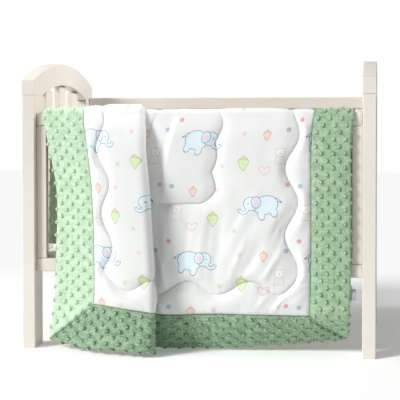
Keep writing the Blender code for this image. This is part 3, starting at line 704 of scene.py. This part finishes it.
def backing_sheet():
    """The minky at the back, with its dots towards the rail and the quilting's stitches pressed into it."""
    columns = spaced(0, WIDTH, BACKING_CELL)
    turn_low = TURN_START - BACKING_TURN_MARGIN
    turn_high = TURN_END + BACKING_TURN_MARGIN
    front_rows = spaced(0, turn_low, BACKING_CELL)
    turn_rows = spaced(turn_low, turn_high, BACKING_TURN_CELL)
    rear_rows = spaced(turn_high, LENGTH, BACKING_CELL)
    u, v = np.meshgrid(columns, np.concatenate([front_rows, turn_rows[1:], rear_rows[1:]]))
    outer, _ = loop_place(u, v, OUTER_LOOP)
    inner, _ = loop_place(u, v, INNER_LOOP)
    pressed = close_to(np.minimum(outer, inner), DOT_CLEAR)
    edge = np.minimum(np.minimum(u, WIDTH - u), np.minimum(v, LENGTH - v))
    raised = dots(v, u) * (1 - pressed) * smooth_step(edge / BACKING_DOT_CLEAR)
    bent_u, bent_v = bend_lines(u, v)
    low = drape(bent_u, bent_v, BACKING_STITCH_DEPTH * pressed - BACKING_DOT_HEIGHT * raised)
    high_u = halved(bent_u)
    high_v = halved(bent_v)
    high = drape(high_u, high_v, np.full_like(high_u, BACKING_THICKNESS))
    # The fine side faces the rail, so the columns run the other way.
    # Its crease field puts painted shade on the pressed stitches.
    fields = {
        "cloth": (cloth_place(bent_u, bent_v)[:, ::-1], cloth_place(high_u, high_v)[:, ::-1]),
        "relief": (raised[:, ::-1], np.zeros_like(high_u)),
        "crease": (NO_CREASE_SHADE * (1 - pressed)[:, ::-1], np.full_like(high_u, NO_CREASE_SHADE)),
    }
    return closed_mesh("backing_sheet", low[:, ::-1], high[:, ::-1], fields)


def care_label():
    """A folded satin tag, blank, sewn into the right edge and bowed a little forward."""
    s, t = np.meshgrid(np.linspace(0, 1, LABEL_COLUMNS), np.linspace(0, 1, LABEL_ROWS))
    u = WIDTH + LAYER_GAP + s * LABEL_WIDTH
    v = LABEL_START + t * LABEL_LENGTH
    bow = LABEL_BOW * np.sin(np.pi * s * 0.5) ** 2 * np.sin(np.pi * t)
    bow = bow + LABEL_WAVE * np.sin(2 * np.pi * t) * s
    rim = np.clip((s - 1 + LABEL_ROUND) / LABEL_ROUND, 0, 1)
    half = LABEL_THICKNESS / 2 * np.sqrt(1 - rim**2) + LABEL_SKIN
    middle = BACKING_THICKNESS / 2 + LABEL_THICKNESS / 2 + bow
    top = drape(u, v, middle + half)
    bottom = drape(halved(u), halved(v), halved(middle - half))
    fields = {"cloth": (cloth_place(u, v), cloth_place(halved(u), halved(v)))}
    return closed_mesh("label_tag", top, bottom, fields)


# ---------------------------------------------------------------- materials


class Shader:
    """A material's node tree, built by short calls. A socket takes a number, a tuple or another socket."""

    def __init__(self, name):
        self.material = bpy.data.materials.new(name)
        self.material.use_nodes = True
        self.tree = self.material.node_tree
        self.surface = self.tree.nodes["Principled BSDF"]

    def add(self, kind, inputs=(), **settings):
        made = self.tree.nodes.new(kind)
        for name, value in settings.items():
            setattr(made, name, value)
        for socket, value in dict(inputs).items():
            self.set(made.inputs[socket], value)
        return made

    def set(self, socket, value):
        if isinstance(value, bpy.types.NodeSocket):
            self.tree.links.new(value, socket)
        elif isinstance(value, (tuple, list)) and len(value) == 3 and socket.type == "RGBA":
            socket.default_value = (*value, 1)
        else:
            socket.default_value = value

    def finish(self, **inputs):
        for name, value in inputs.items():
            self.set(self.surface.inputs[name.replace("_", " ")], value)
        return self.material

    def math(self, operation, a, b=0.0, c=0.0, clamp=False):
        made = self.add("ShaderNodeMath", {0: a, 1: b, 2: c}, operation=operation, use_clamp=clamp)
        return made.outputs[0]

    def field(self, name):
        return self.add("ShaderNodeAttribute", attribute_name=name)

    def mix(self, factor, a, b):
        # A colour mix has its two colours on sockets 6 and 7, and its result on output 2.
        made = self.add("ShaderNodeMix", {0: factor}, data_type="RGBA")
        self.set(made.inputs[6], a)
        self.set(made.inputs[7], b)
        return made.outputs[2]

    def remap(self, value, low, high, to_low=0.0, to_high=1.0):
        inputs = {"Value": value, "From Min": low, "From Max": high, "To Min": to_low, "To Max": to_high}
        return self.add("ShaderNodeMapRange", inputs).outputs[0]

    def noise(self, vector, scale, detail=2.0, roughness=0.5):
        inputs = {"Vector": vector, "Scale": scale, "Detail": detail, "Roughness": roughness}
        return self.add("ShaderNodeTexNoise", inputs).outputs[0]

    def threads(self, vector, scale, direction, distortion=0.0):
        inputs = {"Vector": vector, "Scale": scale, "Distortion": distortion}
        return self.add("ShaderNodeTexWave", inputs, bands_direction=direction).outputs[0]

    def stretched(self, vector, scale):
        return self.add("ShaderNodeVectorMath", {0: vector, 1: scale}, operation="MULTIPLY").outputs[0]

    def bump(self, height, distance, strength=1.0, normal=None):
        inputs = {"Height": height, "Distance": distance, "Strength": strength}
        if normal is not None:
            inputs["Normal"] = normal
        return self.add("ShaderNodeBump", inputs).outputs[0]

    def oval(self, place, centre, radii, degrees=0.0):
        """The distance to an oval's outline, below 0 inside it."""
        inputs = {
            "Vector": place,
            "Location": (*centre, 0),
            "Rotation": (0, 0, math.radians(degrees)),
            "Scale": (*radii, 1),
        }
        local = self.add("ShaderNodeMapping", inputs, vector_type="TEXTURE").outputs[0]
        length = self.add("ShaderNodeVectorMath", {0: local}, operation="LENGTH").outputs["Value"]
        return self.math("MULTIPLY_ADD", length, min(radii), -min(radii))

    def union(self, shapes):
        joined = shapes[0]
        for shape in shapes[1:]:
            joined = self.math("MINIMUM", joined, shape)
        return joined

    def fill(self, colour, shape, paint, strength=1.0):
        inside = self.math("LESS_THAN", shape, 0.0)
        if strength < 1:
            inside = self.math("MULTIPLY", inside, strength)
        return self.mix(inside, colour, paint)

    def outline(self, colour, shape, paint, width=0.0010):
        return self.mix(self.math("COMPARE", shape, 0.0, width), colour, paint)


WOOD_PAINT = (0.78, 0.73, 0.665)
WOOD_PAINT_DULL = (0.74, 0.685, 0.615)
WOOD_GRAIN = (0.62, 0.55, 0.47)


def painted_wood(name, stretch):
    """Satin off-white paint over wood: the grain shows faintly through it, and the colour drifts a little."""
    s = Shader(name)
    place = s.add("ShaderNodeNewGeometry").outputs["Position"]
    drift = s.noise(place, 3.0)
    grain = s.noise(s.stretched(place, stretch), 60.0, 4.0, 0.6)
    colour = s.mix(s.remap(drift, 0.35, 0.65), WOOD_PAINT, WOOD_PAINT_DULL)
    colour = s.mix(s.remap(grain, 0.45, 0.75, 0.0, 0.12), colour, WOOD_GRAIN)
    normal = s.bump(grain, 0.0004, 0.35)
    normal = s.bump(s.noise(place, 900.0), 0.0001, 0.3, normal)
    rough = s.remap(drift, 0.3, 0.7, 0.36, 0.46)
    return s.finish(Base_Color=colour, Roughness=rough, Normal=normal, Coat_Weight=0.15, Coat_Roughness=0.3)


def elephant(s, colour, place):
    """A plain line-and-wash elephant seen from the side, about 14 cm long."""
    line = (0.19, 0.29, 0.42)
    wash = (0.70, 0.82, 0.87)
    pink = (0.87, 0.58, 0.68)
    front_leg = s.oval(place, (-0.008, -0.030), (0.011, 0.017))
    rear_leg = s.oval(place, (0.034, -0.029), (0.011, 0.018))
    tail = s.oval(place, (0.057, 0.006), (0.011, 0.0028), -48)
    body = s.union([s.oval(place, (0.013, 0.0), (0.041, 0.031)), front_leg, rear_leg, tail])
    colour = s.outline(s.fill(colour, body, wash), body, line)
    ring = s.math("ABSOLUTE", s.oval(place, (-0.060, 0.004), (0.013, 0.013)))
    ring = s.math("SUBTRACT", ring, 0.0052)
    height = s.add("ShaderNodeSeparateXYZ", {0: place}).outputs[1]
    trunk = s.math("MAXIMUM", ring, s.math("SUBTRACT", height, 0.005))
    head = s.union([s.oval(place, (-0.032, 0.015), (0.024, 0.023)), trunk])
    colour = s.outline(s.fill(colour, head, wash), head, line)
    ear = s.oval(place, (-0.015, 0.016), (0.015, 0.019), -15)
    colour = s.outline(s.fill(colour, ear, wash), ear, line)
    colour = s.fill(colour, s.oval(place, (-0.015, 0.015), (0.009, 0.012), -15), pink, 0.75)
    colour = s.fill(colour, s.oval(place, (-0.042, 0.005), (0.0045, 0.0032)), pink, 0.6)
    return s.fill(colour, s.oval(place, (-0.041, 0.017), (0.0022, 0.0026)), line)


def strawberry(s, colour, place, centre, size, wash, line, leaf):
    """A small strawberry: a round top over a narrower tip, three leaves and a few seeds."""
    x, y = centre
    fruit = s.union(
        [
            s.oval(place, (x, y + 0.10 * size), (0.37 * size, 0.29 * size)),
            s.oval(place, (x, y - 0.08 * size), (0.27 * size, 0.32 * size)),
            s.oval(place, (x, y - 0.24 * size), (0.15 * size, 0.26 * size)),
        ]
    )
    colour = s.outline(s.fill(colour, fruit, wash, 0.75), fruit, line, 0.0008)
    inputs = {0: place, 1: (0.2 * size,) * 3, 2: (0, 0, 0)}
    cell = s.add("ShaderNodeVectorMath", inputs, operation="WRAP").outputs[0]
    seeds = s.oval(cell, (0.1 * size, 0.1 * size), (0.022 * size, 0.034 * size))
    seeds = s.math("MAXIMUM", seeds, s.math("ADD", fruit, 0.002))
    colour = s.fill(colour, seeds, line, 0.8)
    leaves = [
        s.oval(place, (x + side * 0.13 * size, y + 0.37 * size), (0.16 * size, 0.065 * size), side * -32)
        for side in (-1, 1)
    ]
    crown = s.union([*leaves, s.oval(place, (x, y + 0.44 * size), (0.05 * size, 0.12 * size))])
    return s.outline(s.fill(colour, crown, leaf), crown, line, 0.0007)


def heart(s, colour, place, centre, size, line):
    """A heart in outline, made of two leaning ovals."""
    x, y = centre
    halves = [
        s.oval(place, (x + side * 0.17 * size, y), (0.26 * size, 0.46 * size), side * -42) for side in (-1, 1)
    ]
    return s.outline(colour, s.union(halves), line)


def teddy(s, colour, place, centre, size, line):
    """A little bear in outline."""
    x, y = centre
    feet = [
        s.oval(place, (x + side * 0.20 * size, y - 0.40 * size), (0.12 * size, 0.10 * size))
        for side in (-1, 1)
    ]
    body = s.union([s.oval(place, (x, y - 0.18 * size), (0.27 * size, 0.28 * size)), *feet])
    colour = s.outline(colour, body, line, 0.0008)
    ears = [
        s.oval(place, (x + side * 0.22 * size, y + 0.44 * size), (0.09 * size, 0.09 * size))
        for side in (-1, 1)
    ]
    head = s.union([s.oval(place, (x, y + 0.24 * size), (0.29 * size, 0.25 * size)), *ears])
    cream = (0.84, 0.83, 0.80)
    colour = s.outline(s.fill(colour, head, cream), head, line, 0.0008)
    return s.fill(colour, s.oval(place, (x, y + 0.20 * size), (0.05 * size, 0.04 * size)), line)


# The print repeats in this tile, which drops and turns over from one column of tiles to the next.
TILE_WIDTH = 0.225
TILE_LENGTH = 0.43
TILE_SHIFT = 0.135
TILE_DROP = 0.20
ELEPHANT_PLACE = (0.004, -0.105, 0)
ELEPHANT_TURN = 14
ELEPHANT_SCALE = 1.05
PRINT_GREEN = (0.36, 0.48, 0.28)
PRINT_RED = (0.66, 0.32, 0.28)
PRINT_BROWN = (0.62, 0.50, 0.42)
PRINT_ROSE = (0.86, 0.45, 0.48)
# Strawberries: place in the tile, size, wash, line and leaf.
BERRIES = (
    ((-0.062, 0.045), 0.050, (0.62, 0.80, 0.38), PRINT_GREEN, (0.86, 0.60, 0.42)),
    ((0.012, 0.145), 0.036, (0.90, 0.60, 0.52), PRINT_RED, (0.66, 0.78, 0.50)),
)
# Round dots: place in the tile, radius and paint.
SPOTS = (
    ((-0.070, 0.150), 0.0085, (0.86, 0.52, 0.60)),
    ((0.088, 0.165), 0.0085, (0.30, 0.44, 0.62)),
    ((0.092, -0.030), 0.0080, (0.66, 0.30, 0.26)),
    ((-0.088, -0.195), 0.0080, (0.58, 0.66, 0.40)),
)
COTTON = (0.78, 0.79, 0.78)
COTTON_DULL = (0.75, 0.76, 0.75)
# The painted shade in the cotton's stitched creases.
COTTON_CREASE_SHADE = (0.50, 0.52, 0.51)


def printed_cotton():
    """White cotton with a light, plain print, a fine weave and painted shade in its stitched creases."""
    s = Shader("Printed cotton")
    cloth = s.field("cloth").outputs["Vector"]
    u, v, _ = s.add("ShaderNodeSeparateXYZ", {0: cloth}).outputs[:3]
    u = s.math("ADD", u, TILE_SHIFT)
    column = s.math("FLOOR", s.math("DIVIDE", u, TILE_WIDTH))
    odd = s.math("FLOORED_MODULO", column, 2.0)
    local_u = s.math("SUBTRACT", s.math("FLOORED_MODULO", u, TILE_WIDTH), TILE_WIDTH / 2)
    local_u = s.math("MULTIPLY", local_u, s.math("MULTIPLY_ADD", odd, -2.0, 1.0))
    dropped = s.math("ADD", s.math("MULTIPLY", odd, TILE_DROP), v)
    local_v = s.math("SUBTRACT", s.math("FLOORED_MODULO", dropped, TILE_LENGTH), TILE_LENGTH / 2)
    place = s.add("ShaderNodeCombineXYZ", {0: local_u, 1: local_v}).outputs[0]

    colour = s.mix(s.remap(s.noise(cloth, 9.0), 0.3, 0.7), COTTON, COTTON_DULL)
    inputs = {
        "Vector": place,
        "Location": ELEPHANT_PLACE,
        "Rotation": (0, 0, math.radians(ELEPHANT_TURN)),
        "Scale": (ELEPHANT_SCALE,) * 3,
    }
    turned = s.add("ShaderNodeMapping", inputs, vector_type="TEXTURE").outputs[0]
    colour = elephant(s, colour, turned)
    for centre, size, wash, line, leaf in BERRIES:
        colour = strawberry(s, colour, place, centre, size, wash, line, leaf)
    colour = heart(s, colour, place, (0.012, 0.020), 0.036, PRINT_ROSE)
    colour = teddy(s, colour, place, (0.066, 0.070), 0.056, PRINT_BROWN)
    for centre, radius, paint in SPOTS:
        colour = s.fill(colour, s.oval(place, centre, (radius, radius)), paint, 0.8)

    # Painted shade in the stitched creases: the cotton is darkened along its stitched loops.
    stitch = s.field("stitch").outputs["Fac"]
    crease = s.remap(stitch, 0.0, 0.0022, 0.45, 0.0)
    colour = s.mix(crease, colour, COTTON_CREASE_SHADE)
    weave = s.math("ADD", s.threads(cloth, 700.0, "X", 1.5), s.threads(cloth, 700.0, "Y", 1.5))
    normal = s.bump(weave, 0.00012, 0.25)
    normal = s.bump(s.noise(cloth, 55.0, 3.0), 0.0012, 0.30, normal)
    return s.finish(
        Base_Color=colour,
        Roughness=0.88,
        Normal=normal,
        Sheen_Weight=0.15,
        Specular_IOR_Level=0.3,
    )


def minky(name, light, dark):
    """Short, unevenly brushed plush pile, with painted light on the raised dots and painted shade round them
    and in creases.
    """
    s = Shader(name)
    cloth = s.field("cloth").outputs["Vector"]
    relief = s.field("relief").outputs["Fac"]
    crease = s.field("crease").outputs["Fac"]
    brushed = s.noise(cloth, 42.0, 4.0, 0.65)
    tufts = s.noise(cloth, 210.0, 3.0, 0.7)
    pile = s.noise(cloth, 620.0, 2.0, 0.7)
    broad = s.remap(brushed, 0.32, 0.68, 0.0, 0.55)
    shade = s.math("ADD", broad, s.remap(tufts, 0.36, 0.64, -0.05, 0.70))
    # Painted shade in a ring round the foot of each raised dot, and painted light on the dots' tops.
    dot_foot_shade = s.math("MULTIPLY", relief, s.math("SUBTRACT", 1.0, relief))
    shade = s.math("MULTIPLY_ADD", dot_foot_shade, -2.1, shade)
    shade = s.math("MULTIPLY_ADD", relief, 0.22, shade, clamp=True)
    colour = s.mix(shade, dark, light)
    # Painted shade along the seams and mitres, and in the backing's pressed stitches.
    colour = s.mix(s.remap(crease, 0.0005, 0.004, 0.45, 0.0), colour, tuple(0.45 * x for x in dark))
    normal = s.bump(tufts, 0.0040, 0.7)
    normal = s.bump(pile, 0.0012, 0.6, normal)
    return s.finish(
        Base_Color=colour,
        Roughness=0.95,
        Normal=normal,
        Sheen_Weight=0.30,
        Sheen_Roughness=0.45,
        Sheen_Tint=(0.80, 1.0, 0.80),
        Specular_IOR_Level=0.15,
    )


def label_satin():
    """Grey satin tape, left blank."""
    s = Shader("Label satin")
    cloth = s.field("cloth").outputs["Vector"]
    colour = s.mix(s.noise(cloth, 120.0), (0.36, 0.37, 0.39), (0.45, 0.46, 0.48))
    normal = s.bump(s.threads(cloth, 900.0, "Y"), 0.0001, 0.3)
    return s.finish(Base_Color=colour, Roughness=0.5, Normal=normal, Anisotropic=0.4)


# ---------------------------------------------------------------- the crib and the comforter

upright_wood = painted_wood("Painted wood upright", (8.0, 8.0, 0.6))
level_wood = painted_wood("Painted wood level", (0.6, 8.0, 8.0))
deep_wood = painted_wood("Painted wood deep", (8.0, 0.6, 8.0))
for node_name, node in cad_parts.items():
    if node_name.startswith("comforter"):
        continue
    low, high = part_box(node_name)
    size = high - low
    longest = max(range(3), key=lambda axis: size[axis])
    node.data.materials.clear()
    node.data.materials.append((level_wood, deep_wood, upright_wood)[longest])

hem = table_columns(HEM_COLUMNS, HEM)
fold_x, fold_out = fold_table()

panel = add_piece("quilted_panel", quilted_panel(), printed_cotton(), "printed_cotton", "comforter_panel")
# Each border's lighter and darker green, as painted light and shade: the left strip painted lit, the front
# shaded.
BORDER_GREENS_PAINTED_LIT_AND_SHADED = {
    "left": ((0.73, 0.91, 0.71), (0.32, 0.51, 0.30)),
    "right": ((0.50, 0.67, 0.48), (0.15, 0.27, 0.13)),
    "front": ((0.42, 0.59, 0.41), (0.06, 0.13, 0.06)),
    "rear": ((0.50, 0.67, 0.48), (0.15, 0.27, 0.13)),
}
BACKING_GREENS = ((0.70, 0.88, 0.68), (0.38, 0.56, 0.36))
for edge, (light, dark) in BORDER_GREENS_PAINTED_LIT_AND_SHADED.items():
    name = f"minky_border_{edge}"
    green = minky(f"Green minky with painted light and shade {edge}", light, dark)
    mesh = border_strip(name, edge)
    add_piece(name, mesh, green, "green_minky", f"comforter_border_{edge}")
backing_green = minky("Green minky with painted light and shade backing", *BACKING_GREENS)
backing = add_piece("backing_sheet", backing_sheet(), backing_green, "green_minky", "comforter_backing")
label = add_piece("label_tag", care_label(), label_satin(), "label_cloth", "comforter_label")

# ---------------------------------------------------------------- floor, light and camera


def add_object(name, data, place, aim=None):
    """Links an object at a place. Its own -Z points along aim, where that is given."""
    obj = bpy.data.objects.new(name, data)
    obj.location = place
    if aim is not None:
        obj.rotation_euler = Vector(aim).to_track_quat("-Z", "Y").to_euler()
    bpy.context.scene.collection.objects.link(obj)
    return obj


FLOOR_REACH = 14.0
corners = [(x * FLOOR_REACH, y * FLOOR_REACH, 0) for x, y in ((-1, -1), (1, -1), (1, 1), (-1, 1))]
floor_mesh = bpy.data.meshes.new("floor")
floor_mesh.from_pydata(corners, [], [(0, 1, 2, 3)])
floor_paint = Shader("Pale floor").finish(
    Base_Color=(0.97, 0.97, 0.97),
    Roughness=1.0,
    Specular_IOR_Level=0.0,
    Emission_Color=(1, 1, 1),
    Emission_Strength=0.13,
)
floor_mesh.materials.append(floor_paint)
floor = add_object("floor", floor_mesh, (0, 0, cad_box[0].z))

# A broad key light from the front left, and from above.
sun = bpy.data.lights.new("key", "SUN")
sun.energy = 3.3
sun.angle = math.radians(18)
add_object("key", sun, (0, 0, 0), (0.70, 0.57, -0.54))

# A soft light at the upper right, which brightens the inside of the crib's left end.
softbox = bpy.data.lights.new("softbox", "AREA")
softbox.shape = "DISK"
softbox.size = 1.2
softbox.spread = math.radians(44)
softbox.energy = 5.0
add_object("softbox", softbox, (0.95, 0.15, 2.2), (-1.55, -0.1, -1.3))

# The studio's surroundings: a white backdrop, whose light on the object comes mostly from above.
BACKDROP_LIGHT = {"From Min": 0.2, "From Max": 1.0, "To Min": 0.06, "To Max": 0.46}
world = bpy.data.worlds.new("Studio")
world.use_nodes = True
sky = world.node_tree
backdrop = sky.nodes["Background"]
backdrop.inputs["Color"].default_value = (1, 1, 1, 1)
direction = sky.nodes.new("ShaderNodeSeparateXYZ")
sky.links.new(sky.nodes.new("ShaderNodeTexCoord").outputs["Generated"], direction.inputs[0])
fade = sky.nodes.new("ShaderNodeMapRange")
for name, value in BACKDROP_LIGHT.items():
    fade.inputs[name].default_value = value
sky.links.new(direction.outputs["Z"], fade.inputs["Value"])
seen = sky.nodes.new("ShaderNodeLightPath").outputs["Is Camera Ray"]
strength = sky.nodes.new("ShaderNodeMath")
strength.operation = "MAXIMUM"
sky.links.new(fade.outputs[0], strength.inputs[0])
sky.links.new(seen, strength.inputs[1])
sky.links.new(strength.outputs[0], backdrop.inputs["Strength"])
bpy.context.scene.world = world
bpy.context.scene.view_settings.view_transform = "Standard"

# The photo's view, from 0.8 m above the floor and a little to the right.
CAMERA_PLACE = (0.658, -3.7355, 0.815)
CAMERA_YAW = math.radians(8.20)
CAMERA_PITCH = math.radians(-1.2)
lens = bpy.data.cameras.new("camera")
lens.lens = 87.07
lens.sensor_width = 36.0
lens.shift_x = -0.10
lens.shift_y = -0.13
forward = (
    -math.sin(CAMERA_YAW) * math.cos(CAMERA_PITCH),
    math.cos(CAMERA_YAW) * math.cos(CAMERA_PITCH),
    math.sin(CAMERA_PITCH),
)
bpy.context.scene.camera = add_object("camera", lens, CAMERA_PLACE, forward)

bpy.context.view_layer.update()
